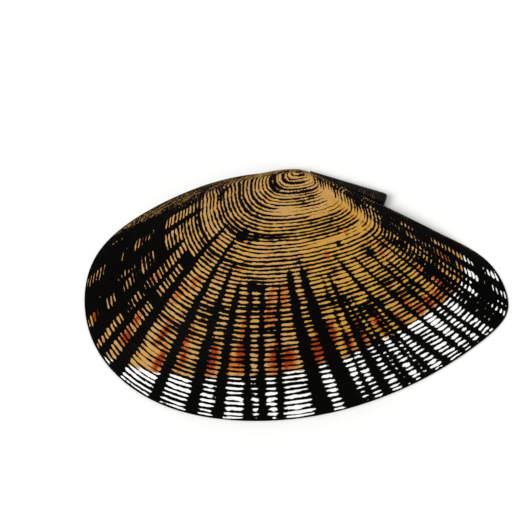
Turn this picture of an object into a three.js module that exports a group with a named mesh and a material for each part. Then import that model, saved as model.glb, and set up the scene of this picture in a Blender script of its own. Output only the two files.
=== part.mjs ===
// One valve of a rayed clam, lying on its rim with the hollow side down, and the dried
// ligament that stays on its hinge line. Millimetres, +Z up. X runs from the round front
// end to the pointed hind end, Y from the open edge to the hinge. The valve is laid out
// round its beak, and the finished group is moved so that the origin is under its middle.
//
// A clam adds shell only at its rim. Every growth line is a smaller copy of the rim, shrunk
// towards the beak and tilted about the hinge line, so "growth" runs from 0 at the beak to
// 1 at the rim, and "turn" from 0 to 1 round the rim.
import * as THREE from "three";

const degrees = THREE.MathUtils.degToRad;
const BEAK = new THREE.Vector2(0, 0);

// Control polygon of the rim, a closed cubic B-spline. It starts at the beak and goes by the
// front end, the open edge and the hind corner back along the hinge line. The rim that it
// makes is 70 long.
const RIM_POLYGON = [
  [1.1, 0.2],
  [-9.9, -0.3],
  [-19.4, -3.4],
  [-29.4, -9],
  [-35.4, -15.5],
  [-36.4, -25],
  [-32.9, -34],
  [-23.4, -41.5],
  [-9.4, -44],
  [5.6, -42.5],
  [19.6, -37],
  [29.1, -30.5],
  [33.6, -26.5],
  [35.1, -23],
  [32.1, -15.5],
  [24.6, -11.5],
  [11.6, -5.3],
];

// Growth law
const YOUNG_TILT = degrees(30.3); // tilt of a young growth line to the rim's plane
const TILT_POWER = 2.2; // above 1, most of the tilt is lost late in growth
const YOUNG_TURN = degrees(6.6); // how far the youngest outline was turned, front end up
const TURN_POWER = 2.8; // above 1, most of that turn is lost early in growth
const BEAK_CURL = degrees(103); // extra tilt at the very tip of the beak
const CURL_REACH = 0.018; // share of growth in which that curl dies away
const BEAK_LIFT = 2.75; // height of the beak over the rim's plane
const HIND_LAG = 0.37; // how much shorter the young clam's hind end was
const HIND_REACH = 34.6; // distance from beak to hind end
const FIRST_GROWTH = 0.015; // the growth line that closes the tip of the beak

// Relief of the outside
const UMBO_SWELL = 0.7; // swelling of the umbo, the hump round the beak
const SWELL_REACH = 0.155; // share of growth in which it dies away
const KEEL_TURN = 0.695; // place of the blunt keel that runs from beak to hind corner
const KEEL_WIDTH = 0.02; // in turns
const KEEL_HEIGHT = 0.45;
const RIDGES = 28; // concentric growth ridges
const RIDGE_HEIGHT = 0.28; // groove to crest
const RIDGE_STEEPNESS = 0.22; // highest ridge for its width, where growth lines crowd

// Inside: the hollow is the same form, drawn in towards the middle of the opening
const OPENING_MIDDLE = new THREE.Vector3(-0.4, -21, 0);
const HOLLOW_SCALE = new THREE.Vector3(0.95, 0.95, 0.83);
const HINGE_LEVEL = 1.2; // height of the hinge plate over the rim's plane
const HINGE_WIDTH = 5; // its width at the beak
const HINGE_FRONT = -13; // where it runs out, in front of the beak and behind it
const HINGE_BACK = 20;
const HINGE_SIDE = 1.4; // rise over run of its inner side
const HINGE_SOFTNESS = 1.2; // distance in which its inner edge rounds over
const HINGE_BLEND = 4; // higher blends the plate into the hollow more sharply
const HINGE_LINE_TOP = -1; // Y of the hinge line at the beak
const FRONT_SLOPE = 0.11; // fall of the hinge line in front of the beak and behind it
const BACK_SLOPE = -0.4;

// Ligament: a tapered band outside the hinge line, behind the beak
const LIGAMENT_START = new THREE.Vector3(2.5, -0.3, 1.1);
const LIGAMENT_END = new THREE.Vector3(14.6, -5.3, 1.5);
const LIGAMENT_ARCH = 0.16; // rise of its middle over a straight line
const LIGAMENT_HALF_WIDTH = [0.35, 1.05]; // at its start and at its end
const LIGAMENT_HALF_HEIGHT = [0.5, 1.25];
const LIGAMENT_RIBS = 9; // cross ribs
const LIGAMENT_RIB_HEIGHT = 0.08;
const LIGAMENT_END_ROUNDING = 0.12; // share of its length that the blunt end rounds off

// Fineness
const COLUMNS = 64; // points round each growth line
const HOLLOW_ROWS = 16;
const LIGAMENT_SIDES = 12;
const LIGAMENT_STEPS = 2 * LIGAMENT_RIBS;
const NUDGE = 1e-4; // step in growth and turn that finds a slope

function rimPoint(turn) {
  const count = RIM_POLYGON.length;
  const place = (((turn % 1) + 1) % 1) * count;
  const span = Math.floor(place);
  const t = place - span;
  const weights = [
    (1 - t) ** 3 / 6,
    (3 * t ** 3 - 6 * t ** 2 + 4) / 6,
    (-3 * t ** 3 + 3 * t ** 2 + 3 * t + 1) / 6,
    t ** 3 / 6,
  ];
  const rim = new THREE.Vector2();
  weights.forEach((weight, i) => {
    const [x, y] = RIM_POLYGON[(span + i - 1 + count) % count];
    rim.x += weight * x;
    rim.y += weight * y;
  });
  return rim;
}

// The smooth outside of the valve, with no relief.
function growthPoint(growth, turn) {
  const rim = rimPoint(turn);
  const left = 1 - growth;
  rim.x *= 1 - HIND_LAG * left * (Math.max(rim.x, 0) / HIND_REACH);
  rim.rotateAround(BEAK, -YOUNG_TURN * left ** TURN_POWER);
  const curl = BEAK_CURL * Math.exp(-growth / CURL_REACH) * left;
  const tilt = YOUNG_TILT * (1 - growth ** TILT_POWER) + curl;
  return new THREE.Vector3(
    growth * rim.x,
    growth * rim.y * Math.cos(tilt),
    -growth * rim.y * Math.sin(tilt) + BEAK_LIFT * left ** 2,
  );
}

function outwardNormal(growth, turn) {
  const here = growthPoint(growth, turn);
  const younger = growthPoint(growth - NUDGE, turn).sub(here);
  const round = growthPoint(growth, turn + NUDGE).sub(here);
  return younger.cross(round).normalize();
}

// Distance across the growth ridges at a place, from one to the next.
function ridgePitch(growth, turn) {
  const here = growthPoint(growth, turn);
  const younger = growthPoint(growth - NUDGE, turn).sub(here);
  const round = growthPoint(growth, turn + NUDGE).sub(here).normalize();
  return younger.cross(round).length() / NUDGE / RIDGES;
}

// crest is 1 on a ridge and -1 in a groove.
function outsidePoint(growth, turn, crest) {
  const swell = UMBO_SWELL * Math.exp(-((growth / SWELL_REACH) ** 2));
  const keel = KEEL_HEIGHT * growth * Math.exp(-(((turn - KEEL_TURN) / KEEL_WIDTH) ** 2));
  const highest = Math.min(RIDGE_HEIGHT, RIDGE_STEEPNESS * ridgePitch(growth, turn));
  const relief = swell + keel * (1 - growth ** 8) + (crest * highest) / 2;
  return growthPoint(growth, turn).addScaledVector(outwardNormal(growth, turn), relief);
}

// Height that the hinge plate leaves to the hollow at a place.
function hingeCeiling(x, y) {
  const slope = x < 0 ? FRONT_SLOPE : BACK_SLOPE;
  const inward = HINGE_LINE_TOP + slope * x - y;
  const along = x < 0 ? x / HINGE_FRONT : x / HINGE_BACK;
  const width = HINGE_WIDTH * Math.max(1 - along ** 2, 0);
  const past = inward - width;
  return HINGE_LEVEL + (HINGE_SIDE * (past + Math.hypot(past, HINGE_SOFTNESS))) / 2;
}

function hollowPoint(growth, turn) {
  const point = growthPoint(growth, turn).sub(OPENING_MIDDLE).multiply(HOLLOW_SCALE);
  point.add(OPENING_MIDDLE);
  const ceiling = hingeCeiling(point.x, point.y);
  const blend = point.z ** -HINGE_BLEND + ceiling ** -HINGE_BLEND;
  point.z = growth < 1 ? blend ** (-1 / HINGE_BLEND) : 0;
  return point;
}

function ring(pointAt, columns = COLUMNS) {
  return Array.from({ length: columns }, (_, i) => pointAt(i / columns));
}

// A closed skin through rings of equally many points, with a fan over each end.
function loft(rings) {
  const count = rings[0].length;
  const points = rings.flat();
  const ends = [rings[0], rings.at(-1)];
  const middles = ends.map((end) =>
    end.reduce((sum, point) => sum.add(point), new THREE.Vector3()).divideScalar(count),
  );
  const firstMiddle = points.length;
  const lastRing = (rings.length - 1) * count;
  points.push(...middles);
  const faces = [];
  for (let i = 0; i < count; i++) {
    const next = (i + 1) % count;
    faces.push(firstMiddle, i, next);
    for (let start = 0; start < lastRing; start += count) {
      const [here, beside] = [start + i, start + next];
      faces.push(here, here + count, beside + count, here, beside + count, beside);
    }
    faces.push(firstMiddle + 1, lastRing + next, lastRing + i);
  }
  const geometry = new THREE.BufferGeometry().setFromPoints(points);
  geometry.setIndex(faces);
  geometry.computeVertexNormals();
  return geometry;
}

// Rings from the tip of the beak over the outside to the rim, across the rim, and up the hollow.
function valveGeometry() {
  const rings = [ring((turn) => outsidePoint(FIRST_GROWTH, turn, 0))];
  for (let step = 1; step < 2 * RIDGES; step++) {
    const growth = THREE.MathUtils.lerp(FIRST_GROWTH, 1, step / (2 * RIDGES));
    rings.push(ring((turn) => outsidePoint(growth, turn, step % 2 ? 1 : -1)));
  }
  rings.push(ring((turn) => growthPoint(1, turn)));
  for (let row = HOLLOW_ROWS; row > 0; row--) {
    rings.push(ring((turn) => hollowPoint(row / HOLLOW_ROWS, turn)));
  }
  return loft(rings);
}

function ligamentGeometry() {
  const along = LIGAMENT_END.clone().sub(LIGAMENT_START);
  const across = new THREE.Vector3(-along.y, along.x, 0).normalize();
  const rings = [];
  for (let step = 0; step <= LIGAMENT_STEPS; step++) {
    const share = step / LIGAMENT_STEPS;
    const fromEnd = Math.min((1 - share) / LIGAMENT_END_ROUNDING, 1);
    const fullness = 0.6 + 0.4 * Math.sqrt(1 - (1 - fromEnd) ** 2);
    const rib = step % 2 ? LIGAMENT_RIB_HEIGHT : 0;
    const halfWidth = THREE.MathUtils.lerp(...LIGAMENT_HALF_WIDTH, share) * fullness - rib;
    const halfHeight = THREE.MathUtils.lerp(...LIGAMENT_HALF_HEIGHT, share) * fullness - rib;
    const middle = LIGAMENT_START.clone().addScaledVector(along, share);
    middle.addScaledVector(across, LIGAMENT_ARCH * Math.sin(Math.PI * share));
    rings.push(
      ring((turn) => {
        const angle = -2 * Math.PI * turn;
        const point = middle.clone().addScaledVector(across, halfWidth * Math.cos(angle));
        point.z += halfHeight * Math.sin(angle);
        return point;
      }, LIGAMENT_SIDES),
    );
  }
  return loft(rings);
}

const shellMaterial = new THREE.MeshStandardMaterial({ color: 0xc79a45, roughness: 0.45, metalness: 0 });
const ligamentMaterial = new THREE.MeshStandardMaterial({ color: 0x2b1a10, roughness: 0.6, metalness: 0 });

const valve = new THREE.Mesh(valveGeometry(), shellMaterial);
valve.name = "valve";
const ligament = new THREE.Mesh(ligamentGeometry(), ligamentMaterial);
ligament.name = "ligament";

const laidRoundBeak = new THREE.Group();
laidRoundBeak.add(valve, ligament);
const box = new THREE.Box3().setFromObject(laidRoundBeak);
const middle = box.getCenter(new THREE.Vector3());
laidRoundBeak.position.set(-middle.x, -middle.y, -box.min.z);

const clamShell = new THREE.Group();
clamShell.add(laidRoundBeak);

export default clamShell;
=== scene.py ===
"""One valve of a rayed clam, lying on its rim, with the dried ligament behind its beak.

The solids give the form. This script lays a fine mesh over them, with every growth line, the
hinge and the scars inside, and colours it with black rays and lines on gold.
"""

import math

import bpy
import numpy as np
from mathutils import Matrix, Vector


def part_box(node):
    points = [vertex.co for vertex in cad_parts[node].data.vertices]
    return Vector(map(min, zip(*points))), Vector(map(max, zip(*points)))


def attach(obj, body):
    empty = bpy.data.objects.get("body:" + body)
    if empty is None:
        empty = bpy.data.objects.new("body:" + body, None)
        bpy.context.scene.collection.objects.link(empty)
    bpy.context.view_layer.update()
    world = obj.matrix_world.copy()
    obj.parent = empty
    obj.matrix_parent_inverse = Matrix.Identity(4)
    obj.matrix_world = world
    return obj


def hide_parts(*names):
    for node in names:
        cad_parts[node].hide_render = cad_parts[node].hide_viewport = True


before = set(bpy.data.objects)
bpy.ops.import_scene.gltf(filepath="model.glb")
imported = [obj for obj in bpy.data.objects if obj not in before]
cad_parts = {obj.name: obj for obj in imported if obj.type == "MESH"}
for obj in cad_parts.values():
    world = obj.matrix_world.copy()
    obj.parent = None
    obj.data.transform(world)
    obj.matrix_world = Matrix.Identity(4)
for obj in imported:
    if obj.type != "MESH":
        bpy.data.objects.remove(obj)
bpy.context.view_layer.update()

MM = 0.001
SEED = 7

# Shape of the valve, in millimetres round its beak, as in the solids. X runs from the round
# front end to the pointed hind end, Y from the open edge to the hinge. Every growth line is a
# smaller copy of the rim, shrunk towards the beak and tilted about the hinge line. Growth runs
# from 0 at the beak to 1 at the rim, and turn from 0 to 1 round the rim, by the front end.
RIM_POLYGON = np.array(
    [
        (1.1, 0.2),
        (-9.9, -0.3),
        (-19.4, -3.4),
        (-29.4, -9.0),
        (-35.4, -15.5),
        (-36.4, -25.0),
        (-32.9, -34.0),
        (-23.4, -41.5),
        (-9.4, -44.0),
        (5.6, -42.5),
        (19.6, -37.0),
        (29.1, -30.5),
        (33.6, -26.5),
        (35.1, -23.0),
        (32.1, -15.5),
        (24.6, -11.5),
        (11.6, -5.3),
    ]
)
YOUNG_TILT = math.radians(30.3)
TILT_POWER = 2.2
YOUNG_TURN = math.radians(6.6)
TURN_POWER = 2.8
BEAK_CURL = math.radians(103.0)
CURL_REACH = 0.018
BEAK_LIFT = 2.75
HIND_LAG = 0.37
HIND_REACH = 34.6
FIRST_GROWTH = 0.008  # closer to the beak's tip than in the solids
UMBO_SWELL = 0.7
SWELL_REACH = 0.155
KEEL_TURN = 0.695
KEEL_WIDTH = 0.02
KEEL_HEIGHT = 0.45

# Growth lines: the groove that ends each ridge
LINES = 60
CROWDING = 0.15  # how much closer they lie at the rim than at the beak
LINE_JITTER = 0.16  # in ridges
LINE_UNEVEN = 0.17  # how much wider or narrower one dark line is than another, as ink
WAVE = 0.01  # wander of the lines, in growth
WAVES_PER_TURN = 4.0
WAVE_START = 1.43
RIDGE_HEIGHT = 0.2
RIDGE_STEEPNESS = 0.26
RIDGE_HEIGHTS = (0.55, 1.0)  # share of its height that the lowest and the highest ridge has
RIM_POWER = 24  # the higher, the closer to the rim the relief runs out
RIDGE_ROWS = ((0.0, 0.0), (0.3, 1.0), (0.68, 0.85))  # share of the ridge, share of its height
# Towards the hinge line the dark lines leave the ridges and sweep out to the edge
SWEEP = 12.5  # in growth, by the square of the turns past where it starts
SWEEP_GROWTHS = (0.15, 0.38)  # growth where it begins and where it is whole
FRONT_SWEEP_TURN = 0.26
HIND_SWEEP_TURN = 0.78
SWEEP_LIMIT = 0.4

# Inside, as in the solids, but with a rounded corner in the hinge line, teeth and scars
OPENING_MIDDLE = np.array([-0.4, -21.0, 0.0])
HOLLOW_SCALE = np.array([0.95, 0.95, 0.83])
HINGE_LEVEL = 1.2
HINGE_WIDTH = 5.0
HINGE_FRONT = -13.0
HINGE_BACK = 20.0
HINGE_SIDE = 1.4
HINGE_SOFTNESS = 1.2
HINGE_BLEND = 4
HINGE_LINE_TOP = -1.0
FRONT_SLOPE = 0.11
BACK_SLOPE = -0.4
HINGE_CORNER = 3.0  # rounding of the hinge line's corner under the beak
HOLLOW_ROWS = 44
HOLLOW_CROWDING = 1.3  # above 1, its rows lie closer together under the beak
RIM_ROUNDING = 0.12
RIM_TO_MIDDLE = 20.0  # from the rim to the opening's middle, about
TEETH_CLEARANCE = 0.3  # from the teeth to the rim's plane
LOWEST_HEIGHT = 1e-6
# Hinge teeth: the ends of each on the hinge plate, its half width and its height
TEETH = (
    ((-0.6, -2.0), (-2.0, -4.7), 0.45, 0.7),
    ((0.6, -2.1), (1.8, -4.9), 0.45, 0.7),
    ((-4.0, -2.2), (-10.5, -4.0), 0.5, 0.45),
    ((5.5, -4.2), (14.5, -8.0), 0.55, 0.5),
)
# Scars of the two muscles that closed the shell: growth, turn and half size in each
SCARS = ((0.72, 0.235, 0.10, 0.030), (0.70, 0.755, 0.11, 0.028))
SCAR_DEPTH = 0.12
SCAR_EDGE = 0.85  # share of a scar's half size where its edge begins
# Line along which the mantle was fixed, with a bay behind
MANTLE_GROWTH = 0.8
MANTLE_TURNS = (0.26, 0.73)
MANTLE_END_SLOPE = 20  # growth a turn by which the line leaves the shell past its ends
BAY_TURN = 0.675
BAY_HALF_WIDTH = 0.05
BAY_DEPTH = 0.33

# Columns round the valve: close together where the rays are, and wide apart under the hinge
RAYED_TURNS = (0.19, 0.87)
RAYED_COLUMNS = 350
PLAIN_COLUMNS = 42
NUDGE = 1e-4

# Discs of the valve's map for baking: the middle, both ways, and the radius
OUTER_DISC = (0.385, 0.38)
INNER_DISC = (0.795, 0.2)

# Black rays: growth where the ray starts, its turn at growth 0.6 and at 0.95, and its width at
# the rim in thousandths of a turn
RAY_GROWTHS = (0.6, 0.95)
RAYS = (
    (0.50, 0.224, 0.238, 30),
    (0.43, 0.269, 0.277, 20),
    (0.74, 0.293, 0.296, 9),
    (0.53, 0.3155, 0.3195, 17),
    (0.555, 0.342, 0.340, 8.5),
    (0.37, 0.362, 0.3625, 13),
    (0.39, 0.399, 0.4025, 9.5),
    (0.50, 0.4215, 0.4315, 9.5),
    (0.555, 0.4385, 0.4505, 8.5),
    (0.565, 0.4535, 0.471, 6.5),
    (0.57, 0.467, 0.481, 6.5),
    (0.565, 0.485, 0.4935, 5),
    (0.495, 0.500, 0.521, 12.5),
    (0.485, 0.517, 0.541, 13.5),
    (0.53, 0.5375, 0.554, 3.5),
    (0.55, 0.547, 0.565, 8),
    (0.62, 0.5515, 0.578, 5),
    (0.66, 0.559, 0.5835, 5),
    (0.70, 0.568, 0.594, 4.5),
    (0.70, 0.572, 0.600, 5),
    (0.49, 0.575, 0.6145, 7.5),
    (0.50, 0.599, 0.634, 6),
    (0.50, 0.6245, 0.650, 7),
    (0.57, 0.6395, 0.665, 8),
    (0.45, 0.669, 0.690, 9.5),
    (0.53, 0.694, 0.7065, 10),
    (0.60, 0.713, 0.719, 9),
    (0.45, 0.7355, 0.7405, 10),
    (0.45, 0.757, 0.7555, 12),
    (0.42, 0.7875, 0.783, 17),
    (0.40, 0.826, 0.826, 36),
)
RAY_YOUNG_WIDTH = 0.6  # share of its width that a ray has soon after its start
RAY_POINT = 0.05  # growth in which it comes to that width
RAY_FADE = 60  # how fast the depth falls before a ray's start, per unit of growth
FAR_FROM_RAYS = -30.0

# White band of the newest growth: its inner edge, as turn and growth
BAND_EDGE = (
    (0.33, 1.02),
    (0.37, 0.955),
    (0.40, 0.915),
    (0.44, 0.885),
    (0.50, 0.862),
    (0.55, 0.840),
    (0.62, 0.823),
    (0.70, 0.835),
    (0.77, 0.833),
    (0.80, 0.857),
    (0.83, 0.895),
    (0.86, 1.02),
)

# Share of a ridge that its dark line covers, and what is added to it at the front, behind and at
# the rim, with the turns and growths between which that comes in
LINE_INK = 0.565
OLD_INK = -0.035
OLD_GROWTHS = (0.7, 0.8)
# Painted shade: the front side is drawn darker, its dark lines thickened towards black
FRONT_PAINTED_SHADE = 0.14
FRONT_SHADE_TURNS = (0.19, 0.235)
FRONT_OLD_PAINTED_SHADE = 0.06
FRONT_OLD_SHADE_GROWTHS = (0.36, 0.5)
# Painted shade: the hind slope is drawn darker, its dark lines thickened
HIND_PAINTED_SHADE = 0.12
HIND_SHADE_TURNS = (0.69, 0.83)
HIND_SHADE_FADE = 0.03
HIND_SHADE_GROWTHS = (0.42, 0.52)
RIM_INK = 0.9
RIM_GROWTHS = (0.992, 0.997)

# Dark lines thickened where the clam paused: growth, first and last turn, and ink added
CHECKS = (
    (0.040, 0.50, 0.90, 0.60),
    (0.080, 0.15, 0.56, 0.75),
    (0.112, 0.70, 0.87, 0.90),
    (0.118, 0.10, 0.41, 0.95),
    (0.135, 0.10, 0.41, 0.80),
    (0.120, 0.43, 0.56, 0.40),
    (0.137, 0.44, 0.66, 0.55),
    (0.160, 0.72, 0.88, 1.20),
    (0.172, 0.71, 0.88, 0.50),
    (0.167, 0.445, 0.51, 0.70),
    (0.168, 0.555, 0.60, 0.40),
    (0.190, 0.45, 0.53, 0.45),
    (0.210, 0.445, 0.54, 0.55),
    (0.238, 0.19, 0.44, 0.60),
    (0.228, 0.53, 0.62, 0.30),
    (0.245, 0.71, 0.83, 0.90),
    (0.278, 0.22, 0.53, 0.55),
    (0.285, 0.72, 0.74, 0.60),
    (0.300, 0.515, 0.64, 0.45),
    (0.325, 0.78, 0.88, 0.80),
    (0.345, 0.66, 0.74, 0.50),
    (0.332, 0.50, 0.62, 0.40),
    (0.350, 0.40, 0.48, 0.30),
    (0.370, 0.10, 0.27, 0.80),
    (0.388, 0.33, 0.42, 0.50),
    (0.372, 0.43, 0.478, 0.50),
    (0.385, 0.53, 0.67, 0.35),
    (0.415, 0.66, 0.78, 0.50),
    (0.470, 0.10, 0.34, 0.80),
    (0.460, 0.64, 0.73, 0.40),
    (0.495, 0.345, 0.42, 0.55),
    (0.495, 0.434, 0.455, 0.70),
    (0.575, 0.448, 0.498, 0.60),
    (0.550, 0.538, 0.568, 0.60),
    (0.665, 0.36, 0.46, 0.30),
    (0.768, 0.345, 0.465, 0.55),
    (0.500, 0.72, 0.80, 0.70),
    (0.595, 0.69, 0.77, 0.50),
    (0.725, 0.675, 0.705, 0.50),
)
CHECK_FADE = 0.014  # in turns, at each end
CHECK_REACH = 0.4  # in ridges, to each side

# Painted shade: areas of the front side and the hind slope where the dark lines are thickened
# towards black, merged with the dark rays there. First and last growth and turn, and ink added
SHADED_AREAS = (
    (0.64, 1.10, 0.208, 0.243, 0.40),
    (0.66, 1.10, 0.200, 0.285, 0.34),
    (0.48, 0.66, 0.228, 0.315, 0.12),
    (0.66, 1.10, 0.285, 0.315, 0.14),
    (0.50, 1.10, -0.10, 0.208, 0.17),
    (0.52, 0.64, 0.205, 0.230, 0.30),
    (0.64, 0.68, 0.22, 0.270, 0.60),
    (0.78, 0.81, 0.23, 0.270, 0.50),
    (0.85, 0.90, 0.23, 0.275, 0.60),
    (0.635, 0.668, 0.270, 0.315, 0.50),
    (0.745, 0.775, 0.277, 0.310, 0.50),
    (0.855, 1.10, 0.277, 0.294, 0.60),
    (0.835, 0.86, 0.294, 0.312, 0.50),
    (0.92, 0.955, 0.294, 0.312, 0.60),
    (0.745, 0.768, 0.317, 0.340, 0.50),
    (0.80, 0.86, 0.317, 0.340, 0.40),
    (0.56, 0.60, 0.340, 0.362, 0.80),
    (0.735, 0.76, 0.340, 0.358, 0.60),
    (0.56, 1.10, 0.697, 0.713, 0.30),
    (0.90, 0.935, 0.690, 0.835, 0.60),
    (0.88, 0.95, 0.735, 0.754, 0.60),
    (0.57, 0.63, 0.735, 0.754, 0.50),
    (0.65, 0.70, 0.784, 0.810, 0.60),
    (0.15, 0.40, 0.790, 0.980, 0.30),
    (0.38, 1.10, 0.807, 0.980, 0.50),
    (0.50, 0.575, 0.784, 0.810, 0.50),
    (0.55, 0.82, 0.690, 0.735, 0.03),
    (0.36, 0.56, 0.735, 0.810, 0.25),
    (0.48, 0.84, 0.735, 0.810, 0.12),
)
SHADED_AREA_EDGE = (0.012, 0.006)  # how far an area's edge fades, in growth and in turns

# Smoother places, where the dark lines taper off: growth, turn, half length along growth, half
# width in turns, and ink taken away
BARE = (
    (0.060, 0.40, 0.012, 0.250, 0.40),
    (0.099, 0.38, 0.010, 0.200, 0.45),
    (0.085, 0.72, 0.030, 0.150, 0.60),
    (0.220, 0.475, 0.080, 0.045, 0.50),
    (0.215, 0.69, 0.075, 0.080, 0.70),
    (0.270, 0.57, 0.030, 0.060, 0.45),
    (0.365, 0.70, 0.090, 0.040, 0.45),
    (0.415, 0.57, 0.012, 0.050, 0.60),
    (0.430, 0.655, 0.018, 0.025, 0.50),
    (0.880, 0.630, 0.035, 0.010, 0.25),
    (0.880, 0.668, 0.035, 0.014, 0.28),
    (0.875, 0.728, 0.020, 0.012, 0.30),
    (0.870, 0.768, 0.025, 0.014, 0.40),
)

# Black blots: growth, turn, half length along growth and half width in turns
BLOTS = (
    (0.390, 0.407, 0.018, 0.012),
    (0.368, 0.230, 0.012, 0.025),
    (0.440, 0.577, 0.013, 0.004),
    (0.535, 0.624, 0.022, 0.008),
    (0.535, 0.692, 0.022, 0.007),
    (0.575, 0.4525, 0.015, 0.004),
    (0.585, 0.466, 0.018, 0.004),
    (0.725, 0.577, 0.020, 0.004),
    (0.750, 0.350, 0.012, 0.009),
    (0.385, 0.795, 0.030, 0.012),
)
BLOT_INK = 1.2

# Red and orange patches: growth, turn, half length along growth, half width in turns, redness
PATCHES = (
    (0.97, 0.228, 0.015, 0.020, 0.8),
    (0.73, 0.257, 0.015, 0.008, 0.4),
    (0.96, 0.306, 0.020, 0.006, 0.9),
    (0.71, 0.331, 0.030, 0.008, 0.5),
    (0.83, 0.349, 0.030, 0.005, 0.6),
    (0.90, 0.352, 0.025, 0.006, 0.9),
    (0.69, 0.373, 0.035, 0.005, 0.5),
    (0.81, 0.384, 0.045, 0.004, 0.8),
    (0.89, 0.392, 0.040, 0.004, 0.9),
    (0.62, 0.383, 0.030, 0.004, 0.5),
    (0.80, 0.406, 0.045, 0.004, 0.8),
    (0.85, 0.412, 0.040, 0.003, 0.7),
    (0.55, 0.410, 0.025, 0.006, 0.4),
    (0.52, 0.431, 0.020, 0.004, 0.5),
    (0.83, 0.435, 0.050, 0.005, 0.9),
    (0.84, 0.449, 0.040, 0.003, 0.8),
    (0.72, 0.455, 0.035, 0.003, 0.6),
    (0.80, 0.459, 0.050, 0.004, 1.0),
    (0.45, 0.462, 0.020, 0.005, 0.4),
    (0.66, 0.476, 0.090, 0.007, 0.5),
    (0.81, 0.486, 0.045, 0.004, 0.9),
    (0.61, 0.491, 0.050, 0.006, 0.5),
    (0.70, 0.500, 0.040, 0.004, 0.4),
    (0.82, 0.497, 0.035, 0.005, 1.0),
    (0.80, 0.522, 0.055, 0.005, 1.0),
    (0.51, 0.517, 0.020, 0.005, 0.4),
    (0.76, 0.536, 0.050, 0.004, 0.8),
    (0.47, 0.549, 0.020, 0.005, 0.5),
    (0.80, 0.548, 0.040, 0.004, 0.8),
    (0.79, 0.560, 0.060, 0.005, 0.9),
    (0.76, 0.580, 0.050, 0.006, 0.7),
    (0.41, 0.605, 0.020, 0.005, 0.5),
    (0.80, 0.601, 0.025, 0.003, 1.0),
    (0.50, 0.636, 0.025, 0.004, 0.5),
    (0.76, 0.620, 0.040, 0.004, 0.8),
    (0.80, 0.628, 0.020, 0.006, 0.7),
    (0.80, 0.645, 0.025, 0.005, 0.9),
    (0.80, 0.664, 0.030, 0.005, 0.8),
    (0.57, 0.643, 0.030, 0.004, 0.5),
    (0.32, 0.663, 0.090, 0.006, 0.4),
    (0.36, 0.705, 0.025, 0.012, 0.3),
    (0.43, 0.682, 0.020, 0.010, 0.4),
    (0.30, 0.600, 0.020, 0.008, 0.3),
    (0.69, 0.683, 0.025, 0.007, 0.5),
    (0.78, 0.690, 0.025, 0.006, 0.9),
    (0.54, 0.676, 0.015, 0.007, 0.5),
    (0.75, 0.768, 0.045, 0.008, 0.6),
)
PATCH_SHARPNESS = 0.7
GENERAL_REDNESS = 0.1  # of the ground between the patches
REDNESS_GROWTHS = (0.3, 0.46)  # where that begins and where it is whole

# Deep yellow ground: the growths and turns between which it comes in, and turns where it ends
GOLD_GROWTHS = (0.2, 0.34)
GOLD_FIRST_TURNS = (0.48, 0.56)
GOLD_LAST_TURNS = (0.7, 0.76)

# Ligament, about where its solid is, but grown on to the valve and with finer ribs
LIGAMENT_START = np.array([1.6, -0.65, 1.2])
LIGAMENT_END = np.array([14.2, -5.55, 1.25])
LIGAMENT_HALF_WIDTH = (0.35, 1.15)
LIGAMENT_HALF_HEIGHT = (0.5, 1.2)
LIGAMENT_RIBS = 34
LIGAMENT_RIB_HEIGHT = 0.07
LIGAMENT_END_ROUNDING = 0.05
LIGAMENT_END_SIZE = 0.55  # share of its width and height that its blunt end has
LIGAMENT_STEPS = 204
LIGAMENT_SIDES = 40

# Camera: the picture is 512 pixels wide and high
PICTURE = 512
PIXEL = 0.16513  # millimetres a pixel at the valve
BEAK_PIXEL = (300.8, 170.6)
ELEVATION = math.radians(72.0)
LENS = 300.0
SENSOR = 36.0
VALVE_NEARER = 9.7  # how much nearer than the beak's plane the middle of the valve is

# Colours, linear
TAN = (0.51, 0.31, 0.112, 1)
GOLD = (0.53, 0.30, 0.046, 1)
PEACH = (0.55, 0.25, 0.08, 1)
BROWN = (0.40, 0.19, 0.045, 1)
ORANGE = (0.47, 0.14, 0.026, 1)
RED = (0.29, 0.036, 0.008, 1)
WHITE = (0.90, 0.89, 0.86, 1)
# Black of the rays and dark lines, and also of the painted shade
INK_AND_SHADE = (0.0013, 0.0011, 0.0009, 1)
INSIDE_PALE = (0.83, 0.79, 0.72, 1)
INSIDE_DEEP = (0.78, 0.55, 0.36, 1)
INSIDE_RAY = (0.30, 0.20, 0.17, 1)
SCAR_TINT = (0.72, 0.60, 0.47, 1)
MANTLE_TINT = (0.60, 0.46, 0.34, 1)
HORN = (0.003, 0.0024, 0.0018, 1)
HORN_FLECK = (0.13, 0.075, 0.03, 1)
FLOOR = (0.86, 0.86, 0.85, 1)

# Stage, in metres and watts. Each light has a name, a place, a size and a power.
FLOOR_HALF = 3.0
FLOOR_DROP = 0.1 * MM
LIGHTS = (
    ("key", (-0.45, -0.2, 0.75), 0.5, 6.0),
    ("fill", (0.6, -0.5, 0.5), 0.7, 2.3),
    ("back", (0.1, 0.7, 0.5), 0.6, 2.6),
)
SKY = 0.32


def smooth(low, high, value):
    share = np.clip((value - low) / (high - low), 0, 1)
    return share * share * (3 - 2 * share)


def lerp(pair, share):
    return pair[0] + (pair[1] - pair[0]) * share


# Form of the valve


def rim_points(turn):
    count = len(RIM_POLYGON)
    place = np.mod(turn, 1) * count
    span = np.floor(place).astype(int)
    t = place - span
    weights = (
        (1 - t) ** 3 / 6,
        (3 * t**3 - 6 * t**2 + 4) / 6,
        (-3 * t**3 + 3 * t**2 + 3 * t + 1) / 6,
        t**3 / 6,
    )
    corners = [RIM_POLYGON[(span + i - 1) % count] for i in range(4)]
    return sum(w[..., None] * c for w, c in zip(weights, corners))


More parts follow.
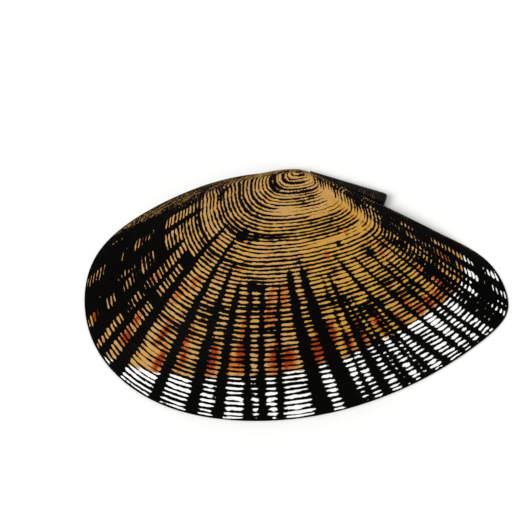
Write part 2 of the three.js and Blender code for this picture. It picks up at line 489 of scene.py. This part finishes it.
def growth_points(growth, turn):
    growth, turn = np.broadcast_arrays(growth, turn)
    rim = rim_points(turn)
    left = 1 - growth
    x = rim[..., 0] * (1 - HIND_LAG * left * np.maximum(rim[..., 0], 0) / HIND_REACH)
    y = rim[..., 1]
    turned = YOUNG_TURN * left**TURN_POWER
    along = x * np.cos(turned) + y * np.sin(turned)
    across = y * np.cos(turned) - x * np.sin(turned)
    curl = BEAK_CURL * np.exp(-growth / CURL_REACH) * left
    tilt = YOUNG_TILT * (1 - growth**TILT_POWER) + curl
    rise = BEAK_LIFT * left**2 - growth * across * np.sin(tilt)
    return np.stack([growth * along, growth * across * np.cos(tilt), rise], -1)


def slopes(growth, turn):
    """Steps from a place towards the beak and along its growth line, per unit of each."""
    here = growth_points(growth, turn)
    younger = (growth_points(growth - NUDGE, turn) - here) / NUDGE
    along = (growth_points(growth, turn + NUDGE) - here) / NUDGE
    return younger, along


def unit(vectors):
    return vectors / np.linalg.norm(vectors, axis=-1, keepdims=True)


def line_growth(line):
    share = line / LINES
    grown = (1 + CROWDING) * share - CROWDING * share**2
    return FIRST_GROWTH + (1 - FIRST_GROWTH) * grown


def line_share(growth):
    """Share of all the lines that lie inside a growth: the reverse of line_growth."""
    grown = (growth - FIRST_GROWTH) / (1 - FIRST_GROWTH)
    spread = 1 + CROWDING
    return (spread - math.sqrt(spread**2 - 4 * CROWDING * grown)) / (2 * CROWDING)


def wander(growth, turn):
    wave = np.sin(2 * math.pi * (WAVES_PER_TURN * turn - WAVE_START))
    return WAVE * 4 * growth * (1 - growth) * wave


def sweep(growth, turn):
    """How much further out, in growth, the dark lines lie than the ridges."""
    front = np.maximum(FRONT_SWEEP_TURN - turn, 0)
    hind = np.maximum(turn - HIND_SWEEP_TURN, 0)
    whole = np.minimum(SWEEP * (front**2 + hind**2), SWEEP_LIMIT)
    return whole * smooth(*SWEEP_GROWTHS, growth)


def outside_grid(columns):
    """Points, line numbers and growths of the outside, row by row from the beak to the rim."""
    draws = np.random.default_rng(SEED)
    jitter = draws.uniform(-LINE_JITTER, LINE_JITTER, LINES + 1)
    heights = draws.uniform(*RIDGE_HEIGHTS, LINES + 1)
    jitter[[0, 1, -1]] = 0
    numbers = np.arange(LINES + 1)
    grooves = line_growth(numbers + jitter)
    rows = []
    for line in range(LINES):
        for share, height in RIDGE_ROWS:
            growth = lerp((grooves[line], grooves[line + 1]), share)
            rows.append((growth, height * heights[line]))
    growths, heights = (np.array(values)[:, None] for values in zip(*rows))
    turn = columns[None, :]
    swept = [grooves + sweep(grooves, t) for t in columns]
    lines = np.stack([np.interp(growths[:, 0], places, numbers) for places in swept], -1)
    growth = growths + wander(growths, turn)
    younger, along = slopes(growth, turn)
    normal = np.cross(younger, along)
    pitch = np.linalg.norm(np.cross(younger, unit(along)), axis=-1) / LINES
    swell = UMBO_SWELL * np.exp(-((growth / SWELL_REACH) ** 2))
    keel = KEEL_HEIGHT * growth * np.exp(-(((turn - KEEL_TURN) / KEEL_WIDTH) ** 2))
    ridge = heights * np.minimum(RIDGE_HEIGHT, RIDGE_STEEPNESS * pitch)
    relief = (swell + keel + ridge) * (1 - growth**RIM_POWER)
    points = growth_points(growth, turn) + relief[..., None] * unit(normal)
    return points, lines, growth


def hinge_ceiling(x, y):
    middle_slope = (FRONT_SLOPE + BACK_SLOPE) / 2
    half_bend = (BACK_SLOPE - FRONT_SLOPE) / 2
    inward = HINGE_LINE_TOP + middle_slope * x + half_bend * np.hypot(x, HINGE_CORNER) - y
    along = np.where(x < 0, x / HINGE_FRONT, x / HINGE_BACK)
    past = inward - HINGE_WIDTH * np.maximum(1 - along**2, 0)
    return HINGE_LEVEL + HINGE_SIDE * (past + np.hypot(past, HINGE_SOFTNESS)) / 2


def teeth_height(x, y):
    height = np.zeros(x.shape)
    for start, end, half_width, tall in TEETH:
        run = np.subtract(end, start)
        share = ((x - start[0]) * run[0] + (y - start[1]) * run[1]) / np.dot(run, run)
        share = np.clip(share, 0, 1)
        away = np.hypot(x - start[0] - share * run[0], y - start[1] - share * run[1])
        height = np.maximum(height, tall * np.exp(-((away / half_width) ** 2)))
    return height


def scar_strength(growth, turn):
    strength = np.zeros(growth.shape)
    for middle, at, half_growth, half_turn in SCARS:
        away = np.hypot((growth - middle) / half_growth, (turn - at) / half_turn)
        strength = np.maximum(strength, 1 - smooth(SCAR_EDGE, 1.0, away))
    return strength


def mantle_line(growth, turn):
    """How far outside the mantle's line a place is, in hundredths of growth."""
    bay = smooth(0, 1, 1 - np.abs(turn - BAY_TURN) / BAY_HALF_WIDTH)
    past_ends = np.maximum(MANTLE_TURNS[0] - turn, 0) + np.maximum(turn - MANTLE_TURNS[1], 0)
    outside = growth - MANTLE_GROWTH + BAY_DEPTH * bay + MANTLE_END_SLOPE * past_ends
    return 100 * outside


def hollow_points(growth, turn):
    growth, turn = np.broadcast_arrays(growth, turn)
    points = (growth_points(growth, turn) - OPENING_MIDDLE) * HOLLOW_SCALE + OPENING_MIDDLE
    x, y = points[..., 0], points[..., 1]
    height = np.maximum(points[..., 2], LOWEST_HEIGHT)
    ceiling = hinge_ceiling(x, y)
    blend = height**-HINGE_BLEND + ceiling**-HINGE_BLEND
    level = blend ** (-1 / HINGE_BLEND) + SCAR_DEPTH * scar_strength(growth, turn)
    level = np.maximum(level - teeth_height(x, y), np.minimum(level, TEETH_CLEARANCE))
    points[..., 2] = np.where(growth < 1, level, 0)
    return points


# Colour fields of the outside


def ray_depth(growth, turn):
    """How far inside a black ray a place is, in thousandths of a turn."""
    depth = np.full(growth.shape, FAR_FROM_RAYS)
    for start, turn_young, turn_old, width in RAYS:
        share = (growth - RAY_GROWTHS[0]) / (RAY_GROWTHS[1] - RAY_GROWTHS[0])
        middle = turn_young + (turn_old - turn_young) * share
        age = np.clip((growth - start) / (1 - start), 0, 1)
        point = smooth(0, RAY_POINT, growth - start)
        half = width / 2 * point * lerp((RAY_YOUNG_WIDTH, 1), age)
        half = half - RAY_FADE * np.maximum(start - growth, 0)
        depth = np.maximum(depth, half - 1000 * np.abs(turn - middle))
    return depth


def within(first, last, fade, value):
    """1 from first to last, fading to 0 over a short way outside them."""
    return smooth(first - fade, first, value) * (1 - smooth(last, last + fade, value))


def spot_distance(growth, turn, spot):
    """Square of the distance from a spot's middle, 1 at its half length and half width."""
    middle, at, half_length, half_width = spot
    return ((growth - middle) / half_length) ** 2 + ((turn - at) / half_width) ** 2


def line_ink_and_shade(lines, growth, turn):
    """Share of each ridge that its dark line covers, painted shade included."""
    weights = np.random.default_rng(SEED + 1).uniform(-LINE_UNEVEN, LINE_UNEVEN, LINES + 1)
    ink_and_shade = LINE_INK + OLD_INK * smooth(*OLD_GROWTHS, growth)
    ink_and_shade = ink_and_shade + np.interp(lines, np.arange(LINES + 1), weights)
    # Painted shade on the front side and the hind slope, as thicker dark lines
    front = 1 - smooth(*FRONT_SHADE_TURNS, turn)
    front_old_shade = smooth(*FRONT_OLD_SHADE_GROWTHS, growth - sweep(growth, turn))
    ink_and_shade = ink_and_shade + front * (FRONT_PAINTED_SHADE + FRONT_OLD_PAINTED_SHADE * front_old_shade)
    ink_and_shade = ink_and_shade + HIND_PAINTED_SHADE * within(*HIND_SHADE_TURNS, HIND_SHADE_FADE, turn) * smooth(*HIND_SHADE_GROWTHS, growth)
    ink_and_shade = ink_and_shade + RIM_INK * smooth(*RIM_GROWTHS, growth)
    for *spot, taken in BARE:
        ink_and_shade = ink_and_shade - taken * np.exp(-spot_distance(growth, turn, spot))
    # Painted shade in the shaded areas, as thicker dark lines
    for young, old, first, last, added in SHADED_AREAS:
        inside = within(young, old, SHADED_AREA_EDGE[0], growth) * within(first, last, SHADED_AREA_EDGE[1], turn)
        ink_and_shade = ink_and_shade + added * inside
    for check, first, last, added in CHECKS:
        groove = np.round(LINES * line_share(check))
        near = np.exp(-(((lines - groove) / CHECK_REACH) ** 2))
        ink_and_shade = ink_and_shade + added * near * within(first, last, CHECK_FADE, turn)
    for spot in BLOTS:
        ink_and_shade = ink_and_shade + BLOT_INK * np.exp(-spot_distance(growth, turn, spot))
    return ink_and_shade


def band_edge(turn):
    turns, edges = zip(*BAND_EDGE)
    return np.interp(turn, turns, edges)


def band_depth(growth, turn):
    """How far inside the white band a place is, in hundredths of growth."""
    return 100 * (growth - band_edge(turn))


def patch_redness(growth, turn):
    """How red the ground is, from 0 to 1: most in the patches."""
    redness = GENERAL_REDNESS * smooth(*REDNESS_GROWTHS, growth)
    for *spot, most in PATCHES:
        away = spot_distance(growth, turn, spot)
        redness = np.maximum(redness, most * np.exp(-PATCH_SHARPNESS * away))
    return redness


def gold_strength(growth, turn):
    """Where the ground is a deep yellow: between the umbo and the hind rays."""
    behind = smooth(*GOLD_FIRST_TURNS, turn) * (1 - smooth(*GOLD_LAST_TURNS, turn))
    return behind * smooth(*GOLD_GROWTHS, growth)


# Meshes


def column_turns():
    first, last = RAYED_TURNS
    rayed = np.linspace(first, last, RAYED_COLUMNS, endpoint=False)
    plain = np.linspace(last, 1 + first, PLAIN_COLUMNS, endpoint=False)
    return np.mod(np.concatenate([rayed, plain]), 1)


def loft_faces(rows, columns):
    """Quads between the rings of a grid, and a fan over each end round two added points."""
    first = np.arange(rows - 1)[:, None] * columns
    here = np.arange(columns)[None, :]
    beside = (here + 1) % columns
    quads = np.stack(
        [first + here, first + columns + here, first + columns + beside, first + beside], -1
    ).reshape(-1, 4)
    last = (rows - 1) * columns
    here, beside = here[0], beside[0]
    caps = [(rows * columns, a, b) for a, b in zip(here, beside)]
    caps += [(rows * columns + 1, last + b, last + a) for a, b in zip(here, beside)]
    return [tuple(q) for q in quads.tolist()] + [tuple(map(int, c)) for c in caps]


def new_piece(name, points, faces):
    mesh = bpy.data.meshes.new(name)
    mesh.from_pydata(points.tolist(), [], faces)
    mesh.validate()
    mesh.polygons.foreach_set("use_smooth", [True] * len(mesh.polygons))
    mesh.update()
    piece = bpy.data.objects.new(name, mesh)
    bpy.context.scene.collection.objects.link(piece)
    return piece


def add_field(piece, name, values):
    if values.ndim == 2:
        field = piece.data.attributes.new(name, "FLOAT_VECTOR", "POINT")
        field.data.foreach_set("vector", values.astype(np.float32).ravel())
    else:
        field = piece.data.attributes.new(name, "FLOAT", "POINT")
        field.data.foreach_set("value", values.astype(np.float32))


def with_ends(values):
    """Values of a grid with the mean of its first and last row added, for the ends' fans."""
    flat = values.reshape(-1, *values.shape[2:])
    return np.concatenate([flat, [values[0].mean(0)], [values[-1].mean(0)]])


def to_row_frame(points):
    """From millimetres round the beak to metres in the part's frame."""
    rim = rim_points(np.linspace(0, 1, 2000))
    low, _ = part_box("valve")
    shift = np.array([low.x / MM - rim[:, 0].min(), low.y / MM - rim[:, 1].min(), 0])
    return (points + shift) * MM


def add_bake_map(piece, flat, inner):
    """A map for baking: one disc for the outside of the valve and one for the inside."""
    outer_places, inner_places = flat
    mesh = piece.data
    corners = np.empty(len(mesh.loops), np.int32)
    mesh.loops.foreach_get("vertex_index", corners)
    sizes = np.empty(len(mesh.polygons), np.int32)
    mesh.polygons.foreach_get("loop_total", sizes)
    inside = np.repeat(inner, sizes)[:, None] == 1
    places = np.where(inside, inner_places[corners], outer_places[corners])
    layer = mesh.uv_layers.new(name="OFBake")
    layer.data.foreach_set("uv", places.astype(np.float32).ravel())


def disc_places(middle, radius, turn):
    angle = 2 * math.pi * turn
    return np.stack([middle + radius * np.cos(angle), middle + radius * np.sin(angle)], -1)


def valve_grid(columns):
    """Rings over the outside, the rim and the hollow, with their line numbers and growths."""
    outside, lines, growth = outside_grid(columns)
    rim = growth_points(np.ones((1, 1)), columns[None, :])
    bevel = rim.copy()
    bevel[..., 2] = RIM_ROUNDING
    under = rim + (OPENING_MIDDLE - rim) * (RIM_ROUNDING / RIM_TO_MIDDLE)
    hollow_growth = np.linspace(1, 1 / HOLLOW_ROWS, HOLLOW_ROWS)[:, None] ** HOLLOW_CROWDING
    hollow = hollow_points(hollow_growth, columns[None, :])
    grid = np.concatenate([outside, bevel, under, hollow])
    added = len(grid) - len(outside)
    lines = np.concatenate([lines, np.full((added, len(columns)), float(LINES))])
    growth = np.concatenate([growth, np.ones((2, len(columns)))])
    growth = np.concatenate([growth, np.broadcast_to(hollow_growth, hollow.shape[:2])])
    return grid, lines, growth, len(outside)


def valve_fields(lines, growth, turn):
    angle = 2 * math.pi * turn
    return {
        "line": lines,
        "ray": ray_depth(growth, turn),
        "ink_and_shade": line_ink_and_shade(lines, growth, turn),
        "band": band_depth(growth, turn),
        "redness": patch_redness(growth, turn),
        "gold": gold_strength(growth, turn),
        "scar": scar_strength(growth, turn),
        "mantle": mantle_line(growth, turn),
        "grain": np.stack([np.cos(angle), np.sin(angle), growth], -1),
    }


def inner_faces(rows, outer_rows, columns):
    """1 for each face of the hollow and 0 for the others, in the order of loft_faces."""
    inner = np.zeros((rows + 1) * columns, np.int32)
    inner[(outer_rows + 1) * columns : (rows - 1) * columns] = 1
    inner[-columns:] = 1
    return inner


def map_places(rows, outer_rows, turn):
    """Places of the grid's points on the outer and on the inner disc of the map."""
    rows_out = outer_rows + 2
    row = np.arange(rows)[:, None]
    from_beak = row / rows_out + 1 / rows_out
    from_middle = (rows - row) / (rows - rows_out + 1)
    outer_places = disc_places(OUTER_DISC[0], OUTER_DISC[1] * from_beak, turn)
    inner_places = disc_places(INNER_DISC[0], INNER_DISC[1] * from_middle, -turn)
    return with_ends(outer_places), with_ends(inner_places)


def make_valve():
    columns = column_turns()
    grid, lines, growth, outer_rows = valve_grid(columns)
    turn = np.broadcast_to(columns, growth.shape)
    faces = loft_faces(len(grid), len(columns))
    valve = new_piece("clam_valve", to_row_frame(with_ends(grid)), faces)
    for name, values in valve_fields(lines, growth, turn).items():
        add_field(valve, name, with_ends(values))
    inner = inner_faces(len(grid), outer_rows, len(columns))
    valve.data.materials.append(outside_material())
    valve.data.materials.append(inside_material())
    valve.data.polygons.foreach_set("material_index", inner)
    add_bake_map(valve, map_places(len(grid), outer_rows, turn), inner)
    return valve


def make_ligament():
    along = LIGAMENT_END - LIGAMENT_START
    across = np.array([-along[1], along[0], 0])
    across = across / np.linalg.norm(across)
    share = np.linspace(0, 1, LIGAMENT_STEPS)[:, None]
    angle = -2 * math.pi * np.arange(LIGAMENT_SIDES)[None, :] / LIGAMENT_SIDES
    from_end = np.clip((1 - share) / LIGAMENT_END_ROUNDING, 0, 1)
    fullness = lerp((LIGAMENT_END_SIZE, 1), np.sqrt(1 - (1 - from_end) ** 2))
    rib = LIGAMENT_RIB_HEIGHT * np.abs(np.sin(math.pi * LIGAMENT_RIBS * share)) * share**0.5
    half_width = lerp(LIGAMENT_HALF_WIDTH, share) * fullness + rib
    half_height = lerp(LIGAMENT_HALF_HEIGHT, share) * fullness + rib
    middle = LIGAMENT_START + along * share
    points = middle[:, None, :] + (half_width * np.cos(angle))[..., None] * across
    points = points + (half_height * np.sin(angle))[..., None] * np.array([0, 0, 1])
    faces = loft_faces(LIGAMENT_STEPS, LIGAMENT_SIDES)
    ligament = new_piece("clam_ligament", to_row_frame(with_ends(points)), faces)
    ribs = np.broadcast_to(LIGAMENT_RIBS * share, points.shape[:2])
    add_field(ligament, "rib", with_ends(ribs))
    ligament.data.materials.append(ligament_material())
    return ligament


# Materials


class Nodes:
    """A material's node tree, with short ways to add the nodes used here."""

    def __init__(self, name):
        self.material = bpy.data.materials.new(name)
        self.material.use_nodes = True
        self.tree = self.material.node_tree
        self.shader = self.tree.nodes["Principled BSDF"]

    def add(self, kind, **settings):
        node = self.tree.nodes.new(kind)
        for name, value in settings.items():
            setattr(node, name, value)
        return node

    def put(self, socket, value):
        if isinstance(value, bpy.types.NodeSocket):
            self.tree.links.new(value, socket)
        else:
            socket.default_value = value

    def field(self, name):
        return self.add("ShaderNodeAttribute", attribute_name=name).outputs["Fac"]

    def vector_field(self, name):
        return self.add("ShaderNodeAttribute", attribute_name=name).outputs["Vector"]

    def math(self, operation, a, b=0.0):
        node = self.add("ShaderNodeMath", operation=operation)
        self.put(node.inputs[0], a)
        self.put(node.inputs[1], b)
        return node.outputs[0]

    def step(self, value, low, high):
        """0 below low, 1 above high, smooth between."""
        node = self.add("ShaderNodeMapRange", interpolation_type="SMOOTHSTEP")
        self.put(node.inputs["Value"], value)
        self.put(node.inputs["From Min"], low)
        self.put(node.inputs["From Max"], high)
        return node.outputs["Result"]

    def noise(self, vector, stretch, detail=2.0):
        """Noise from -0.5 to 0.5, with as many lumps along each axis as stretch says."""
        scaled = self.add("ShaderNodeVectorMath", operation="MULTIPLY")
        self.put(scaled.inputs[0], vector)
        self.put(scaled.inputs[1], stretch)
        node = self.add("ShaderNodeTexNoise")
        self.put(node.inputs["Vector"], scaled.outputs[0])
        self.put(node.inputs["Scale"], 1.0)
        self.put(node.inputs["Detail"], detail)
        return self.math("SUBTRACT", node.outputs["Fac"], 0.5)

    def mix(self, share, a, b):
        node = self.add("ShaderNodeMix", data_type="RGBA")
        self.put(node.inputs["Factor"], share)
        self.put(node.inputs["A"], a)
        self.put(node.inputs["B"], b)
        return node.outputs["Result"]

    def weigh(self, value, weight):
        return self.math("MULTIPLY", value, weight)

    def total(self, *values):
        result = values[0]
        for value in values[1:]:
            result = self.math("ADD", result, value)
        return result

    def bump(self, height, distance, strength=1.0):
        node = self.add("ShaderNodeBump")
        self.put(node.inputs["Height"], height)
        self.put(node.inputs["Distance"], distance)
        self.put(node.inputs["Strength"], strength)
        self.put(self.shader.inputs["Normal"], node.outputs["Normal"])


def outside_material():
    n = Nodes("rayed_shell")
    grain = n.vector_field("grain")
    ragged = n.noise(grain, (60, 60, 150))
    dashes = n.noise(grain, (14, 14, 75))
    patches = n.noise(grain, (5, 5, 16))
    tints = n.noise(grain, (24, 24, 55))
    streaks = n.noise(grain, (34, 34, 5))
    clouds = n.noise(grain, (6, 6, 8))
    browns = n.noise(grain, (20, 20, 42))
    scratches = n.noise(grain, (110, 110, 14))
    ray = n.total(n.field("ray"), n.weigh(ragged, 4.0), n.weigh(dashes, 3.0))
    dark_ray = n.step(ray, -0.3, 0.3)
    # Distance from the middle of a ridge, 0, to the groove on either side, 1
    place = n.math("FRACT", n.total(n.field("line"), n.weigh(patches, 0.6)))
    groove = n.weigh(n.math("ABSOLUTE", n.math("SUBTRACT", place, 0.5)), 2)
    # The dark lines widen where they run into a ray, which rounds the pale rungs between
    widened = n.weigh(n.step(ray, -2.2, 0.0), 0.3)
    uneven = n.total(n.weigh(dashes, 1.1), n.weigh(ragged, 0.5), n.weigh(patches, 0.8))
    # The more ink, the more broken the pale rungs
    broken = n.math("MULTIPLY", uneven, n.math("ADD", n.field("ink_and_shade"), 0.5))
    # The dark lines also carry the painted shade of the front side and the hind slope
    ink_and_shade = n.total(n.field("ink_and_shade"), broken, widened)
    dark_line_and_shade = n.step(n.math("ADD", groove, ink_and_shade), 0.94, 1.06)
    dark = n.math("MAXIMUM", dark_line_and_shade, dark_ray)
    yellow = n.total(n.weigh(clouds, 2.2), n.weigh(tints, -1.2), n.field("gold"))
    ground = n.mix(n.step(yellow, -0.2, 0.7), TAN, GOLD)
    ground = n.mix(n.step(tints, 0.02, 0.14), ground, PEACH)
    ground = n.mix(n.weigh(n.step(browns, 0.08, 0.2), 0.6), ground, BROWN)
    ground = n.mix(n.weigh(n.step(scratches, 0.06, 0.18), 0.5), ground, BROWN)
    redness = n.total(n.field("redness"), n.weigh(tints, 0.9), n.weigh(streaks, 0.5))
    ground = n.mix(n.step(redness, 0.2, 0.42), ground, ORANGE)
    ground = n.mix(n.step(redness, 0.5, 0.72), ground, RED)
    band = n.total(n.field("band"), n.weigh(dashes, 3.0))
    ground = n.mix(n.step(band, -0.3, 0.3), ground, WHITE)
    n.put(n.shader.inputs["Base Color"], n.mix(dark, ground, INK_AND_SHADE))
    n.put(n.shader.inputs["Roughness"], n.total(n.weigh(ragged, 0.25), 0.5))
    n.put(n.shader.inputs["Specular IOR Level"], 0.02)
    striae = n.noise(grain, (10, 10, 420))
    n.bump(n.total(striae, n.weigh(dark_line_and_shade, -0.6)), 0.05 * MM, 0.6)
    return n.material


def inside_material():
    n = Nodes("shell_inside")
    grain = n.vector_field("grain")
    clouds = n.noise(grain, (3, 3, 4))
    bands = n.noise(grain, (2, 2, 30))
    ragged = n.noise(grain, (30, 30, 40))
    growth = n.add("ShaderNodeSeparateXYZ")
    n.put(growth.inputs[0], grain)
    deep = n.step(n.total(growth.outputs["Z"], n.weigh(clouds, 0.5)), 0.9, 0.35)
    ground = n.mix(deep, INSIDE_PALE, INSIDE_DEEP)
    rays = n.step(n.total(n.field("ray"), n.weigh(ragged, 4.0)), -1.5, 1.5)
    ground = n.mix(n.weigh(rays, 0.22), ground, INSIDE_RAY)
    ground = n.mix(n.weigh(n.field("scar"), 0.55), ground, SCAR_TINT)
    beside = n.math("ABSOLUTE", n.total(n.field("mantle"), n.weigh(ragged, 2.0)))
    ground = n.mix(n.weigh(n.step(beside, 1.3, 0.5), 0.45), ground, MANTLE_TINT)
    n.put(n.shader.inputs["Base Color"], ground)
    n.put(n.shader.inputs["Roughness"], n.total(n.weigh(clouds, 0.2), 0.24))
    n.put(n.shader.inputs["Coat Weight"], 0.3)
    n.bump(n.total(bands, n.weigh(ragged, 0.3)), 0.06 * MM, 0.5)
    return n.material


def ligament_material():
    n = Nodes("horny_ligament")
    place = n.math("FRACT", n.field("rib"))
    groove = n.weigh(n.math("ABSOLUTE", n.math("SUBTRACT", place, 0.5)), 2)
    where = n.add("ShaderNodeTexCoord").outputs["Object"]
    fleck = n.noise(where, (900, 900, 900))
    crest = n.step(n.math("ADD", n.math("SUBTRACT", 1.0, groove), n.weigh(fleck, 1.8)), 1.0, 1.15)
    colour = n.mix(crest, HORN, HORN_FLECK)
    n.put(n.shader.inputs["Base Color"], colour)
    n.put(n.shader.inputs["Roughness"], n.total(n.weigh(fleck, 0.3), 0.5))
    n.put(n.shader.inputs["Specular IOR Level"], 0.08)
    n.bump(fleck, 0.08 * MM, 0.6)
    return n.material


def floor_material():
    n = Nodes("pale_floor")
    n.put(n.shader.inputs["Base Color"], FLOOR)
    n.put(n.shader.inputs["Roughness"], 0.8)
    return n.material


# Stage


def make_floor():
    half = FLOOR_HALF
    corners = [(-half, -half, 0), (half, -half, 0), (half, half, 0), (-half, half, 0)]
    mesh = bpy.data.meshes.new("floor")
    mesh.from_pydata(corners, [], [(0, 1, 2, 3)])
    floor = bpy.data.objects.new("floor", mesh)
    floor.location.z = -FLOOR_DROP
    bpy.context.scene.collection.objects.link(floor)
    floor.data.materials.append(floor_material())


def add_light(name, place, size, power):
    light = bpy.data.lights.new(name, "AREA")
    light.shape = "DISK"
    light.size = size
    light.energy = power
    lamp = bpy.data.objects.new(name, light)
    lamp.location = place
    lamp.rotation_mode = "QUATERNION"
    lamp.rotation_quaternion = (-Vector(place)).to_track_quat("-Z", "Y")
    bpy.context.scene.collection.objects.link(lamp)


def make_lights():
    for light in LIGHTS:
        add_light(*light)
    world = bpy.data.worlds.new("studio")
    world.use_nodes = True
    background = world.node_tree.nodes["Background"]
    background.inputs["Color"].default_value = (1.0, 1.0, 1.0, 1)
    background.inputs["Strength"].default_value = SKY
    bpy.context.scene.world = world


def make_camera():
    right = Vector((1, 0, 0))
    up = Vector((0, math.sin(ELEVATION), math.cos(ELEVATION)))
    back = Vector((0, -math.cos(ELEVATION), math.sin(ELEVATION)))
    beak = Vector(to_row_frame(np.zeros((1, 3)))[0])
    aside = (PICTURE / 2 - BEAK_PIXEL[0]) * PIXEL * MM
    above = (BEAK_PIXEL[1] - PICTURE / 2) * PIXEL * MM
    target = beak + right * aside + up * above + back * VALVE_NEARER * MM
    camera = bpy.data.cameras.new("camera")
    camera.sensor_width = SENSOR
    camera.lens = LENS
    distance = PICTURE * PIXEL * MM * LENS / SENSOR
    camera.clip_start = 0.01
    camera.clip_end = 20
    holder = bpy.data.objects.new("camera", camera)
    holder.location = target + back * distance
    holder.rotation_mode = "QUATERNION"
    holder.rotation_quaternion = (-back).to_track_quat("-Z", "Y")
    bpy.context.scene.collection.objects.link(holder)
    bpy.context.scene.camera = holder


bpy.context.scene.view_settings.view_transform = "Standard"
make_camera()
make_floor()
make_lights()

valve = make_valve()
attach(valve, "root")
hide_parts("valve")

ligament = make_ligament()
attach(ligament, "root")
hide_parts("ligament")
